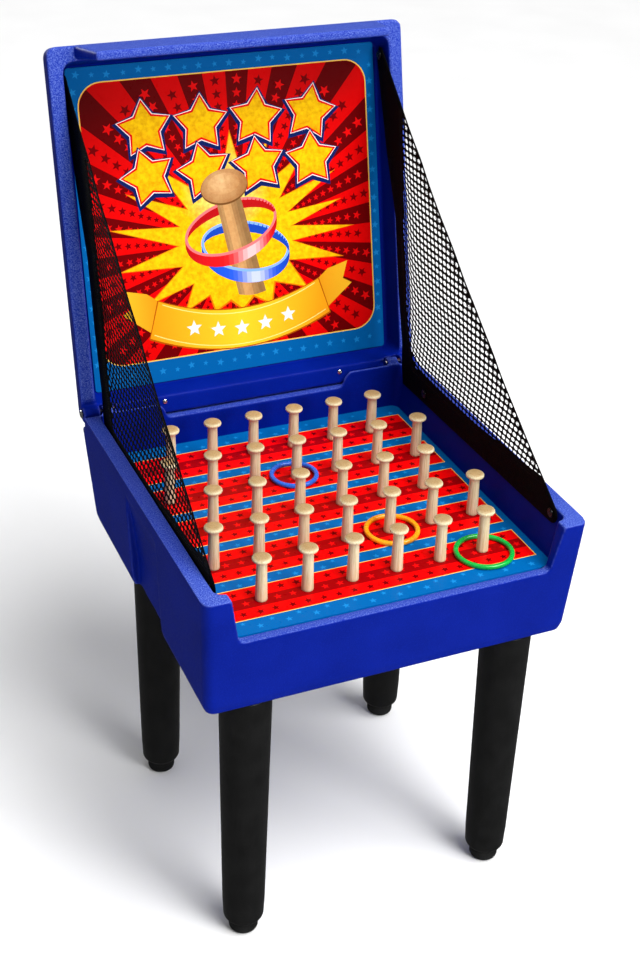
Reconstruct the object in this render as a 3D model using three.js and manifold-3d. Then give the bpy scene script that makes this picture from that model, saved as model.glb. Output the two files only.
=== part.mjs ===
// Ring toss set in a folding case: a peg tray on four pull-out legs, a hinged lid that stands up as
// the backboard, two side nets and three tossing rings.
// Millimetres, +Z up. The player stands on the -Y side, the lid is hinged along the rear edge.
// Inside the group Z = 0 is the top of the playfield board and Y = 0 is the front row of pegs.
import * as THREE from "three";
import { mergeVertices } from "three/addons/utils/BufferGeometryUtils.js";
import Module from "manifold-3d";

const wasm = await Module();
wasm.setup();

// ---- driving dimensions ----
const PEG_PITCH = 76;
const ROW_PITCH = 105.2;
const PEG_ROWS = [6, 7, 6, 7, 6]; // front to rear
const PLAY_HEIGHT = 628.6; // playfield above the ground

const TUB = {
  rim: 82, front: -100.9, rear: 540, halfWidth: 318, bottom: -133, rise: 0.034, skin: 4,
};
const TRAY = { halfWidthTop: 291.2, halfWidth: 279, front: -77.4, rear: 498.6, floor: -5.3 };
const LIP_Z = -1.5; // front edge of the tray, just under the playfield
const HINGE = { y: 515, z: 82, ear: 12, knuckle: 9, pin: 3.6 };
const LID = { tilt: 11.5, halfWidth: 317.6, bottom: -25, top: 616, rim: 0.6, floor: 46, depth: 50 };
const BOARD = { halfWidth: 277.6, front: -76.5, rear: 497.3, thick: 5 };
const HEADER = { halfWidth: 279, bottom: 20.5, top: 576.6, face: 42.7, thick: 3 };
const GRIP = { front: 126, rear: 272, top: 62, depth: 14 };
const PEG = { base: 9.6, neck: 8.2, head: 15.2, height: 79.2, tenon: 4.5 };
const LEG = { x: 228, front: -35, rear: 395, top: 42, bottom: 33, spigot: 33, shoulder: -133.7 };
const FOOT = { radius: 24.5, top: -603.3, stub: 20 };
const NET = { inner: 284.5, outer: 286 };
const RINGS = [
  { name: "ring_blue", color: 0x1f49c8, outer: 42.5, x: -3, y: 319 },
  { name: "ring_yellow", color: 0xf2b21a, outer: 46, x: 78, y: 100.4 },
  { name: "ring_green", color: 0x17b84a, outer: 49, x: 187.5, y: -10.5 },
];
const RING_BAND = 4; // radius of a ring's section

// ---- materials ----
const look = (color, roughness, metalness = 0) =>
  new THREE.MeshStandardMaterial({ color, roughness, metalness });
const CASE_BLUE = [0x0b22b4, 0.62];
const NET_BLACK = [0x0a0a0c, 0.9];
const STEEL = [0xb9bcc2, 0.35, 1];
const LEG_BLACK = [0x161616, 0.5];

// ---- solids ----
function solid(geometry) {
  const g = geometry.clone();
  g.deleteAttribute("normal");
  g.deleteAttribute("uv");
  const merged = mergeVertices(g, 1e-3);
  const triVerts = new Uint32Array(merged.index.array);
  return new wasm.Manifold(
    new wasm.Mesh({ numProp: 3, vertProperties: merged.attributes.position.array, triVerts }),
  );
}

function geometryOf(manifold) {
  const { vertProperties, triVerts } = manifold.getMesh();
  return new THREE.BufferGeometry()
    .setAttribute("position", new THREE.BufferAttribute(vertProperties, 3))
    .setIndex(new THREE.BufferAttribute(triVerts, 1));
}

const join = (...parts) => parts.reduce((a, b) => a.add(b));
const cut = (body, ...tools) => tools.reduce((a, b) => a.subtract(b), body);

function roundedOutline(x0, x1, y0, y1, radius) {
  const [r0, r1] = [].concat(radius, radius); // [near y0, near y1]
  const s = new THREE.Shape();
  s.absarc(x1 - r0, y0 + r0, r0, -Math.PI / 2, 0);
  s.absarc(x1 - r1, y1 - r1, r1, 0, Math.PI / 2);
  s.absarc(x0 + r1, y1 - r1, r1, Math.PI / 2, Math.PI);
  s.absarc(x0 + r0, y0 + r0, r0, Math.PI, 1.5 * Math.PI);
  return s;
}

// A box with rounded upright corners whose half width and depth change from level to level.
// Each level is [z, half width, y0, y1, slope of z along y], from the lowest z up.
function drafted(levels, radius, curveSegments = 3) {
  const [, x, y0, y1] = levels[0];
  const g = new THREE.ExtrudeGeometry(roundedOutline(-x, x, y0, y1, radius), {
    depth: levels.length - 1,
    steps: levels.length - 1,
    bevelEnabled: false,
    curveSegments,
  });
  const p = g.attributes.position;
  for (let i = 0; i < p.count; i++) {
    const [z, halfWidth, front, rear, slope = 0] = levels[Math.round(p.getZ(i))];
    const t = (p.getY(i) - y0) / (y1 - y0);
    const y = front + t * (rear - front);
    p.setXYZ(i, (p.getX(i) * halfWidth) / x, y, z + slope * (y - front));
  }
  return g;
}

// Turns a drafted box so that its levels run along +Y and its y becomes -Z.
const alongY = (g) => g.rotateX(-Math.PI / 2);
const box = (x0, x1, y0, y1, z0, z1) =>
  new THREE.BoxGeometry(x1 - x0, y1 - y0, z1 - z0)
    .translate((x0 + x1) / 2, (y0 + y1) / 2, (z0 + z1) / 2);
const rodX = (radius, x0, x1, y, z, sides = 12) =>
  new THREE.CylinderGeometry(radius, radius, x1 - x0, sides)
    .rotateZ(Math.PI / 2).translate((x0 + x1) / 2, y, z);
const rodZ = (radius, z0, z1, x, y, sides = 16) =>
  new THREE.CylinderGeometry(radius, radius, z1 - z0, sides)
    .rotateX(Math.PI / 2).translate(x, y, (z0 + z1) / 2);
const turned = (profile, sides) =>
  new THREE.LatheGeometry(profile.map(([r, z]) => new THREE.Vector2(r, z)), sides)
    .rotateX(Math.PI / 2);

// An outline in X and Z, with corners rounded by arcs, pushed along Y.
function prismY(shape, y0, y1, curveSegments = 4) {
  const depth = y1 - y0;
  return new THREE.ExtrudeGeometry(shape, { depth, bevelEnabled: false, curveSegments })
    .rotateX(Math.PI / 2).translate(0, y1, 0);
}

// A notch open at the top: half width at the top and at the bottom, with rounded bottom corners.
function notch(topHalf, bottomHalf, z1, z0, r) {
  const s = new THREE.Shape();
  s.moveTo(topHalf, z1);
  s.lineTo(-topHalf, z1);
  s.lineTo(-bottomHalf, z0 + r);
  s.quadraticCurveTo(-bottomHalf, z0, -bottomHalf + r, z0);
  s.lineTo(bottomHalf - r, z0);
  s.quadraticCurveTo(bottomHalf, z0, bottomHalf, z0 + r);
  return s;
}

// ---- scene graph ----
const root = new THREE.Group();
const set = new THREE.Group();
root.add(set);
const lid = new THREE.Group();
lid.position.set(0, HINGE.y, HINGE.z);
lid.rotation.x = THREE.MathUtils.degToRad(-LID.tilt);
set.add(lid);

function piece(parent, name, geometry, material, x = 0, y = 0, z = 0) {
  const mesh = new THREE.Mesh(geometry, look(...material));
  mesh.name = name;
  mesh.position.set(x, y, z);
  parent.add(mesh);
  return mesh;
}
const SIDES = [["left", -1], ["right", 1]];

// ---- base tub: a hollow double-walled shell with a tray on top and four leg sockets below ----
const skin = TUB.skin;

// The tub's outside, or the hollow that lies the given inset within it.
function tubBody(inset) {
  const w = TUB.halfWidth - inset;
  return solid(drafted(
    [
      [TUB.bottom + inset, w - 13, -78 + inset, 488 - inset, TUB.rise],
      [TUB.bottom + 15 + inset / 2, w - 8.6, -82 + inset, 493 - inset, TUB.rise],
      [TUB.rim - inset, w, TUB.front + inset, TUB.rear - inset],
    ],
    Math.max(14 - inset, 6),
  ));
}

function tray(grow) {
  return solid(drafted(
    [
      [TRAY.floor - grow, TRAY.halfWidth + grow, TRAY.front - grow, TRAY.rear + grow],
      [TUB.rim + 6, TRAY.halfWidthTop + 0.8 + grow, TRAY.front - grow, TRAY.rear + 3 + grow],
    ],
    [14 + grow, 12 + grow],
  ));
}

const frontNotch = (g) => solid(prismY(
  notch(275.5 + g, 262 + g, TUB.rim + 6, LIP_Z - g, 13 + g), TUB.front - 40, -60, 5));
const rearNotch = (g) => solid(prismY(
  notch(187 + g, 171 + g, TUB.rim + 6, 54.4 - g, 14 + g), TRAY.rear - 20, TUB.rear + 40, 5));

// The ledge behind the hinge line that the open lid's lower end lies over.
function ledge(g) {
  const slope = Math.tan(THREE.MathUtils.degToRad(LID.tilt));
  const s = new THREE.Shape();
  const front = TRAY.rear + 7.6 - g;
  const rear = TUB.rear + 40;
  s.moveTo(front, 55.8 - g);
  s.lineTo(rear, 55.8 - g - slope * (rear - front));
  s.lineTo(rear, TUB.rim + 8);
  s.lineTo(front, TUB.rim + 8);
  const w = TUB.halfWidth + 20;
  return solid(new THREE.ExtrudeGeometry(s, { depth: 2 * w, bevelEnabled: false })
    .applyMatrix4(new THREE.Matrix4().makeBasis(
      new THREE.Vector3(0, 1, 0), new THREE.Vector3(0, 0, 1), new THREE.Vector3(1, 0, 0),
    )).translate(-w, 0, 0));
}

// A hand hold in each side wall: nothing at its top, deepest along the bottom edge.
function grips(g) {
  const s = new THREE.Shape();
  s.moveTo(0, GRIP.top + g);
  s.lineTo(60, GRIP.top + g);
  s.lineTo(60, -200);
  s.lineTo(-GRIP.depth - g - 10, -200);
  s.lineTo(-GRIP.depth - g - 6, -60);
  s.lineTo(-GRIP.depth / 2 - g - 3, 20);
  const length = GRIP.rear - GRIP.front + 2 * g;
  const wedge = new THREE.ExtrudeGeometry(s, { depth: length, bevelEnabled: false })
    .rotateX(Math.PI / 2).translate(TUB.halfWidth, GRIP.rear + g, 0);
  return SIDES.map(([, side]) =>
    solid(side > 0 ? wedge : wedge.clone().rotateZ(Math.PI)
      .translate(0, GRIP.front + GRIP.rear, 0)));
}

const earNotches = (g) => SIDES.map(([, side]) => solid(rodX(
  HINGE.ear + 1.4 + g, side > 0 ? 286.6 - g : -360, side > 0 ? 360 : -286.6 + g,
  HINGE.y, HINGE.z, 20)));

const cutters = (g) => [tray(g), frontNotch(g), rearNotch(g), ledge(g), ...grips(g), ...earNotches(g)];
const sockets = [];
for (const [row, y] of [["front", LEG.front], ["rear", LEG.rear]])
  for (const [side, sign] of SIDES) sockets.push({ name: `${row}_${side}`, x: sign * LEG.x, y });

let tub = cut(tubBody(0), ...cutters(0));
tub = cut(tub, cut(tubBody(skin), ...cutters(skin)));
for (const s of sockets) {
  const mouth = LEG.shoulder + 0.3;
  tub = cut(
    join(
      tub,
      solid(rodZ(LEG.spigot + 4.8, mouth, TRAY.floor - 2, s.x, s.y, 20)),
      solid(rodZ(LEG.top, mouth, mouth + 22, s.x, s.y, 20)),
    ),
    solid(rodZ(LEG.spigot + 0.8, mouth - 5, TRAY.floor - skin, s.x, s.y, 20)),
  );
}
for (const [, side] of SIDES)
  tub = cut(tub, solid(rodZ(5, TUB.bottom - 5, -100, side * 90, 180, 10))); // drain holes
for (const [, side] of SIDES) {
  const [x0, x1] = side > 0 ? [262, 283.6] : [-283.6, -262];
  tub = cut(
    join(
      tub,
      solid(rodX(HINGE.knuckle, x0, x1, HINGE.y, HINGE.z)),
      solid(box(x0, x1, TRAY.rear + 4.5, HINGE.y - 4.6, 62, TUB.rim - 1)),
    ),
    solid(rodX(HINGE.pin + 0.5, x0 - 5, x1 + 5, HINGE.y, HINGE.z)),
  );
}
piece(set, "base_tub", geometryOf(tub), CASE_BLUE);

// ---- playfield board and pegs ----
const pegSpots = PEG_ROWS.flatMap((count, row) =>
  Array.from({ length: count }, (_, i) => [(i - (count - 1) / 2) * PEG_PITCH, row * ROW_PITCH]));
const board = solid(new THREE.ExtrudeGeometry(
  roundedOutline(-BOARD.halfWidth, BOARD.halfWidth, BOARD.front, BOARD.rear, 14),
  { depth: BOARD.thick, bevelEnabled: false, curveSegments: 3 },
).translate(0, 0, -BOARD.thick));
piece(set, "playfield_board", geometryOf(cut(
  board,
  ...pegSpots.map(([x, y]) => solid(rodZ(PEG.tenon + 0.5, -9, 3, x, y, 8))),
)), [0xd01818, 0.45]);

const pegShape = turned([
  [0, -4.6], [PEG.tenon, -4.6], [PEG.tenon, 0.3], [PEG.base, 0.3], [PEG.neck, 66],
  [14.4, 70.3], [PEG.head, 73.6], [10.8, 77.8], [0, PEG.height],
], 8);
pegSpots.forEach(([x, y], i) =>
  piece(set, `peg_${String(i + 1).padStart(2, "0")}`, pegShape, [0xe2c796, 0.55], x, y));

// ---- tossing rings ----
for (const ring of RINGS) {
  const section = Array.from({ length: 9 }, (_, i) => {
    const a = ((i + 0.5) / 8) * 2 * Math.PI;
    const k = RING_BAND / Math.cos(Math.PI / 8);
    return [ring.outer - RING_BAND + k * Math.cos(a), k * Math.sin(a)];
  });
  piece(set, ring.name, turned(section, 24), [ring.color, 0.4], ring.x, ring.y, RING_BAND + 0.3);
}

// ---- legs and feet ----
const legShape = turned([
  [0, -620], [FOOT.stub, -620], [FOOT.stub, -603], [LEG.bottom, -603], [LEG.top, LEG.shoulder],
  [LEG.spigot, LEG.shoulder], [LEG.spigot, -14], [LEG.spigot - 3, -14],
  [LEG.spigot - 3, LEG.shoulder - 3], [LEG.top - 3, LEG.shoulder - 8], [LEG.bottom - 3, -600], [0, -600],
], 14);
const footShape = turned([
  [0, -PLAY_HEIGHT], [17, -PLAY_HEIGHT], [22.5, -625], [FOOT.radius, -617],
  [FOOT.radius, FOOT.top], [FOOT.stub + 0.4, FOOT.top], [FOOT.stub + 0.4, -620.3], [0, -620.3],
], 14);
for (const s of sockets) {
  piece(set, `leg_${s.name}`, legShape, LEG_BLACK, s.x, s.y);
  piece(set, `foot_${s.name}`, footShape, [0x0c0c0c, 0.8], s.x, s.y);
}

// ---- lid: a hollow tray that stands up as the backboard; X across, Y back, Z up from the hinge ----
function lidBody(g) {
  return solid(alongY(drafted(
    [
      [LID.rim + g, LID.halfWidth - g, -LID.top + g, -LID.bottom - g],
      [40 - g / 2, LID.halfWidth - 4 - g, -LID.top + 4 + g, -LID.bottom - 1 - g],
      [LID.depth - g, LID.halfWidth - 13 - g, -LID.top + 13 + g, -LID.bottom - 10 - g],
    ],
    Math.max(16 - g, 8),
  )));
}
function lidTray(g) {
  return solid(alongY(drafted(
    [
      [LID.rim - 6, 292 + g, -591.6 - g, -6.4 + g],
      [LID.floor + g, 287 + g, -580 - g, -17 + g],
    ],
    18 + g,
  )));
}
// The lip fills the tub's front notch when the lid is shut.
function lidLip(g) {
  return solid(alongY(drafted(
    [[-81 + g, 257 - g, -609.5 + g, -594.5 - g], [3 + 2 * g, 271 - g, -616 + g, -594 - g]],
    Math.max(5 - g, 1.5), 3,
  )));
}
const axisRods = (r, x0, x1, sides = 16) =>
  SIDES.map(([, s]) => solid(rodX(r, s > 0 ? x0 : -x1, s > 0 ? x1 : -x0, 0, 0, sides)));

let shell = cut(lidBody(0), lidTray(0));
const wallHollow = join(
  cut(lidBody(skin), lidTray(skin), ...axisRods(HINGE.ear + 3, 250, 330)),
  lidLip(skin),
);
shell = join(shell, lidLip(0), ...axisRods(HINGE.ear, 287.6, LID.halfWidth));
shell = cut(
  shell,
  wallHollow,
  ...axisRods(HINGE.knuckle + 1.6, 259.6, 286.4),
  ...axisRods(HINGE.pin + 0.5, 250, 330, 16),
  solid(alongY(drafted([[-90, 70, -640, -606], [-62, 60, -640, -612]], 2, 2))), // finger scoop
  ...SIDES.map(([, s]) => solid(prismY(new THREE.Shape().absarc(s * 298, 300, 4), 40, 60))),
);
piece(lid, "lid_shell", geometryOf(shell), CASE_BLUE);

const header = new THREE.ExtrudeGeometry(
  roundedOutline(-HEADER.halfWidth, HEADER.halfWidth, HEADER.bottom, HEADER.top, 5),
  { depth: HEADER.thick, bevelEnabled: false, curveSegments: 2 },
).rotateX(Math.PI / 2);
piece(lid, "header_panel", header, [0xd01818, 0.45], 0, HEADER.face + HEADER.thick);

// ---- hinge pins, lid screws ----
for (const [name, side] of SIDES) {
  const pin = turned([
    [0, 0], [HINGE.pin, 0], [HINGE.pin, 54.4], [7.6, 54.4], [7.6, 56], [4.5, 57.6], [0, 58],
  ], 16).rotateY((side * Math.PI) / 2);
  piece(set, `hinge_pin_${name}`, pin, STEEL, side * 263.5, HINGE.y, HINGE.z);
  const screw = turned([[0, -0.3], [4.8, -0.3], [4.4, 1.4], [2.6, 2.4], [0, 2.6]], 12)
    .rotateX(Math.PI / 2);
  piece(lid, `lid_screw_${name}`, screw, STEEL, side * 168, LID.rim - 0.6, -3);
}

// ---- side nets and their snaps ----
const SNAPS = { front: [-42, 74], rear: [400, 69], top: [651, 620] };
const NET_TOP = [645, 634];
const NET_NOSE = { radius: 17, from: (127 * Math.PI) / 180, to: 1.5 * Math.PI }; // round the snap
const NET_SAG = 24;
const NET_REST = [
  [487, 48], [496, 86], [499, 125], [526, 223], [554, 352], [604, 460], [661, 614], [655, 634],
];
for (const [name, side] of SIDES) {
  const outline = new THREE.Shape().moveTo(...NET_TOP);
  const [noseY, noseZ] = SNAPS.front;
  const end = [
    noseY + NET_NOSE.radius * Math.cos(NET_NOSE.from), noseZ + NET_NOSE.radius * Math.sin(NET_NOSE.from),
  ];
  const [midY, midZ] = NET_TOP.map((v, i) => (v + end[i]) / 2);
  outline.quadraticCurveTo(midY + NET_SAG / 2, midZ - NET_SAG, ...end);
  outline.absarc(noseY, noseZ, NET_NOSE.radius, NET_NOSE.from, NET_NOSE.to);
  for (const corner of NET_REST) outline.lineTo(...corner);
  for (const [y, z] of Object.values(SNAPS))
    outline.holes.push(new THREE.Path().absarc(y, z, 3.4, 0, 2 * Math.PI));
  const net = new THREE.ExtrudeGeometry(outline, {
    depth: NET.outer - NET.inner, bevelEnabled: false, curveSegments: 4,
  }).applyMatrix4(new THREE.Matrix4().makeBasis(
    new THREE.Vector3(0, 1, 0), new THREE.Vector3(0, 0, 1), new THREE.Vector3(1, 0, 0),
  ));
  piece(set, `net_${name}`, net, NET_BLACK, side > 0 ? NET.inner : -NET.outer);

  const cap = [[0, 0], [6, 0.4], [7.6, 1.8], [7.6, 3.2], [2.6, 3.2]];
  const snap = (reach) =>
    turned([...cap, [2.6, reach], [0, reach]], 8).rotateY((side * Math.PI) / 2);
  const start = side * (NET.inner - 3.5);
  const wall = (z) => TRAY.halfWidth + ((z - TRAY.floor) / (TUB.rim + 6 - TRAY.floor)) * 13;
  for (const key of ["front", "rear"]) {
    const [y, z] = SNAPS[key];
    piece(set, `snap_${key}_${name}`, snap(wall(z - 3) - Math.abs(start) - 0.4), STEEL, start, y, z);
  }
  const [y, z] = SNAPS.top;
  const top = piece(set, `snap_top_${name}`, snap(7), STEEL, start, y, z);
  lid.attach(top);
}

// The object stands on the ground with the middle of its box over the origin.
root.updateMatrixWorld(true);
const extent = new THREE.Box3().setFromObject(set);
set.position.set(0, -(extent.min.y + extent.max.y) / 2, PLAY_HEIGHT);

export default root;
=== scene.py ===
import math
import random

import bmesh
import bpy
import numpy as np
from mathutils import Matrix, Vector, noise
from mathutils.geometry import delaunay_2d_cdt


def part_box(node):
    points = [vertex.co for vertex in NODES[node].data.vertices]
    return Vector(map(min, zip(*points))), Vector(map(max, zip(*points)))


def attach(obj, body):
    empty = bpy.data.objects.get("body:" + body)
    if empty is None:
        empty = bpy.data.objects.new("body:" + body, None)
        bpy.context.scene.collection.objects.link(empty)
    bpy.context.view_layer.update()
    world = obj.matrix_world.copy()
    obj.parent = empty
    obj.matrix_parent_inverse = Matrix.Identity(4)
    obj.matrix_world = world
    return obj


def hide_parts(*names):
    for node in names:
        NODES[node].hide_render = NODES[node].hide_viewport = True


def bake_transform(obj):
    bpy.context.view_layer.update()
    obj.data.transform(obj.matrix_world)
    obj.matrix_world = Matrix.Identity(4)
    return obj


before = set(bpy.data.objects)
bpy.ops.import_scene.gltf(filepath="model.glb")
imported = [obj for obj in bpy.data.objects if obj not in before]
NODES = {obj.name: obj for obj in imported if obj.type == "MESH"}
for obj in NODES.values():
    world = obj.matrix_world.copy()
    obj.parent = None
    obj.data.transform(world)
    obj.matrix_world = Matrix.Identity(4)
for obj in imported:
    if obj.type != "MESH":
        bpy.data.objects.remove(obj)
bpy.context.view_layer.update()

# Drawing coordinates are millimetres: x to the right, y to the rear from the front peg row, z up from the
# playfield board's top.
MM = 0.001
BOARD_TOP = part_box("playfield_board")[1].z
FRONT_ROW = sum(corner.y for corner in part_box("peg_01")) / 2
HINGE_Y, HINGE_Z = 515, 82
LID_TILT = math.radians(11.5)


def link(obj):
    bpy.context.scene.collection.objects.link(obj)


def board_place(x, y, z):
    """A drawing point in the row frame."""
    return (x * MM, y * MM + FRONT_ROW, z * MM + BOARD_TOP)


def lid_place(x, y, z):
    """A point of the lid in the row frame. Its z runs up the tilted lid from the hinge, its y to its back."""
    c, s = math.cos(LID_TILT), math.sin(LID_TILT)
    return board_place(x, HINGE_Y + y * c + z * s, HINGE_Z - y * s + z * c)


def matrix_of(place):
    """The 4x4 matrix of a placing function, from drawing millimetres to the row frame."""
    o = Vector(place(0, 0, 0))
    axes = [Vector(place(*v)) - o for v in ((1, 0, 0), (0, 1, 0), (0, 0, 1))]
    return Matrix.Translation(o) @ Matrix(axes).transposed().to_4x4()


def linear(r, g, b):
    """The linear colour of an sRGB one given from 0 to 255."""
    return tuple((v / 255 / 12.92) if v <= 10 else ((v / 255 + 0.055) / 1.055) ** 2.4 for v in (r, g, b))


# -------- materials


class Surface:
    """A node material around one Principled shader, with textures in the object's own coordinates."""

    def __init__(self, name, **sockets):
        self.material = bpy.data.materials.new(name)
        self.material.use_nodes = True
        self.tree = self.material.node_tree
        self.shader = self.tree.nodes["Principled BSDF"]
        self.where = self.tree.nodes.new("ShaderNodeTexCoord").outputs["Object"]
        for key, value in sockets.items():
            key = key.replace("_", " ")
            if isinstance(value, tuple) and len(value) == 3:
                value = (*value, 1)
            self.shader.inputs[key].default_value = value

    def add(self, kind, inputs, **settings):
        node = self.tree.nodes.new("ShaderNode" + kind)
        for key, value in settings.items():
            setattr(node, key, value)
        for key, value in inputs.items():
            if isinstance(value, bpy.types.NodeSocket):
                self.tree.links.new(value, node.inputs[key])
            else:
                node.inputs[key].default_value = value
        return node

    def stretch(self, scale):
        """The coordinates scaled to cycles per metre along each axis."""
        return self.add("Mapping", {"Vector": self.where, "Scale": scale}).outputs[0]

    def noise(self, scale, detail=3, rough=0.5, distortion=0, vector=None):
        inputs = {"Vector": vector or self.where, "Scale": scale, "Detail": detail,
                  "Roughness": rough, "Distortion": distortion}
        return self.add("TexNoise", inputs).outputs[0]

    def cells(self, scale):
        node = self.add("TexVoronoi", {"Vector": self.where, "Scale": scale}, feature="SMOOTH_F1")
        return node.outputs["Distance"]

    def wave(self, scale, direction, distortion):
        inputs = {"Vector": self.where, "Scale": scale, "Distortion": distortion}
        return self.add("TexWave", inputs, bands_direction=direction).outputs[1]

    def span(self, value, low, high, start=0.3, end=0.7):
        inputs = {"Value": value, "From Min": start, "From Max": end, "To Min": low, "To Max": high}
        return self.add("MapRange", inputs).outputs[0]

    def maths(self, operation, a, b):
        return self.add("Math", {0: a, 1: b}, operation=operation).outputs[0]

    def ramp(self, value, *stops):
        node = self.add("ValToRGB", {"Fac": value})
        elements = node.color_ramp.elements
        while len(elements) < len(stops):
            elements.new(0.5)
        for element, (position, colour) in zip(elements, stops):
            element.position, element.color = position, (*colour, 1)
        return node.outputs[0]

    def mix(self, factor, a, b, blend="MIX"):
        a, b = (v if isinstance(v, bpy.types.NodeSocket) else (*v, 1) for v in (a, b))
        return self.add("Mix", {0: factor, 6: a, 7: b}, data_type="RGBA", blend_type=blend).outputs[2]

    def drive(self, socket, value):
        self.tree.links.new(value, self.shader.inputs[socket])

    def bump(self, *layers):
        """Layers of (height, depth in metres), each on the last."""
        normal = None
        for height, depth in layers:
            inputs = {"Height": height, "Distance": depth, "Strength": 1.0}
            if normal is not None:
                inputs["Normal"] = normal
            normal = self.add("Bump", inputs).outputs[0]
        self.drive("Normal", normal)
        return self.material

    def finish(self, colour, roughness, *layers):
        self.drive("Base Color", colour)
        self.drive("Roughness", roughness)
        return self.bump(*layers)


def case_plastic():
    """Pebbled royal blue. A mesh attribute says where a pale painted highlight is laid over it, for the light
    on the rims.
    """
    s = Surface("case_blue_moulded", Roughness=0.36, IOR=1.1)
    grain = s.noise(620, 2)
    pebble = s.cells(430)
    cloud = s.noise(14, 3)
    fleck = s.noise(480, 3, 0.7)
    painted_highlight = s.add("Attribute", {}, attribute_name="painted_highlight").outputs["Fac"]
    base = s.ramp(cloud, (0.3, (0.0004, 0.0078, 0.185)), (0.7, (0.0008, 0.0098, 0.22)))
    base = s.mix(s.span(fleck, 0, 0.4, 0.52, 0.72), base, (0.003, 0.02, 0.34))
    # Painted highlight: a pale, flecked blue for the light that falls on the rims from above.
    pale = s.ramp(fleck, (0.36, (0.008, 0.022, 0.30)), (0.5, (0.040, 0.080, 0.42)),
                  (0.66, (0.16, 0.22, 0.60)))
    base = s.mix(painted_highlight, base, pale)
    # Painted highlight: convex edges are lightened, as glints would light them.
    edge = s.add("NewGeometry", {}).outputs["Pointiness"]
    base = s.mix(s.span(edge, 0, 0.45, 0.52, 0.57), base, (0.11, 0.15, 0.52))
    return s.finish(base, s.span(fleck, 0.3, 0.46), (pebble, 0.00014), (grain, 0.00005))


def print_film(name):
    """Printed vinyl. The "print" attribute holds the ink's colour and, as alpha, how mottled it is."""
    s = Surface(name, Roughness=0.3, IOR=1.12)
    art = s.add("Attribute", {}, attribute_name="print")
    blotch = s.noise(110, 4, 0.65)
    speck = s.noise(1500, 1)
    worn = s.ramp(blotch, (0.35, (0.8, 0.62, 0.55)), (0.62, (1.0, 1.0, 1.0)))
    mottled = s.mix(1.0, art.outputs["Color"], worn, "MULTIPLY")
    colour = s.mix(art.outputs["Alpha"], art.outputs["Color"], mottled)
    dots = s.ramp(speck, (0.3, (0.93, 0.93, 0.93)), (0.7, (1, 1, 1)))
    return s.finish(s.mix(1.0, colour, dots, "MULTIPLY"), s.span(blotch, 0.26, 0.36),
                    (s.noise(420, 2), 0.00006), (s.noise(30, 2), 0.0004))


def peg_wood():
    s = Surface("peg_birch", Roughness=0.5, IOR=1.4)
    grain = s.noise(1.0, 5, 0.6, 0.4, s.stretch((520, 520, 16)))
    broad = s.noise(1.0, 2, 0.5, 0.2, s.stretch((110, 110, 5)))
    pores = s.noise(1.0, 2, 0.5, 0, s.stretch((2300, 2300, 110)))
    colour = s.ramp(grain, (0.32, linear(184, 164, 122)), (0.52, linear(214, 202, 166)),
                    (0.7, linear(228, 219, 190)))
    colour = s.mix(s.span(broad, 0, 0.4), colour, linear(200, 180, 134))
    colour = s.mix(s.span(pores, 0, 0.3, 0.58, 0.7), colour, linear(150, 118, 80))
    # Upward faces are darkened: partly the darker tone of end grain, partly painted shade that holds back the
    # stronger light from above.
    up = s.add("SeparateXYZ", {0: s.tree.nodes["Texture Coordinate"].outputs["Normal"]}).outputs["Z"]
    end_grain_and_shade = s.mix(0.85, colour, linear(188, 160, 124), "MULTIPLY")
    colour = s.mix(s.span(up, 0, 1.0, 0.55, 0.97), colour, end_grain_and_shade)
    return s.finish(colour, s.span(grain, 0.42, 0.62), (grain, 0.00012), (pores, 0.00005))


def ring_plastic(name, colour):
    s = Surface(name, Roughness=0.25, Specular_IOR_Level=0.5)
    swirl = s.noise(60, 3, 0.5, 1.2)
    dark, light = tuple(v * 0.8 for v in colour), tuple(min(1, v * 1.08 + 0.004) for v in colour)
    return s.finish(s.ramp(swirl, (0.3, dark), (0.7, light)), s.span(s.noise(300, 3), 0.2, 0.34),
                    (s.noise(500, 2), 0.00005))


def dark_polymer(name, low, high, rough_low, rough_high, grain, depth, ior=1.22):
    """A black plastic or rubber: two close tones, its gloss range, and its surface grain."""
    s = Surface(name, Roughness=0.5, IOR=ior)
    cloud = s.noise(28, 4, 0.6)
    return s.finish(s.ramp(cloud, (0.3, (low,) * 3), (0.7, (high,) * 3)),
                    s.span(s.noise(180, 4, 0.7), rough_low, rough_high),
                    (s.cells(grain), depth), (s.noise(grain * 2.6, 2), depth * 0.5))


def net_yarn():
    s = Surface("net_knit", Roughness=0.75, IOR=1.15)
    ply = s.wave(420, "DIAGONAL", 2.5)
    fuzz = s.noise(1700, 2)
    return s.finish(s.ramp(ply, (0.2, (0.0004, 0.0005, 0.0006)), (0.8, (0.0022, 0.0026, 0.0032))),
                    s.span(fuzz, 0.66, 0.88), (ply, 0.0002), (fuzz, 0.00015))


def net_tape():
    s = Surface("net_binding", Roughness=0.7, IOR=1.15)
    weave = s.maths("MULTIPLY", s.wave(300, "Y", 0.6), s.wave(300, "Z", 0.6))
    return s.finish(s.ramp(weave, (0.1, (0.0006, 0.0007, 0.0008)), (0.8, (0.003, 0.0035, 0.004))),
                    s.span(s.noise(900, 2), 0.62, 0.82), (weave, 0.00035))


def metal(name, tone, rough):
    s = Surface(name, Metallic=1.0, Roughness=rough)
    scratch = s.noise(1.0, 4, 0.7, 0, s.stretch((600, 90, 600)))
    return s.finish(s.ramp(scratch, (0.3, (tone * 0.75,) * 3), (0.7, (tone,) * 3)),
                    s.span(scratch, rough * 0.8, rough * 1.5), (scratch, 0.00004))


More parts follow.
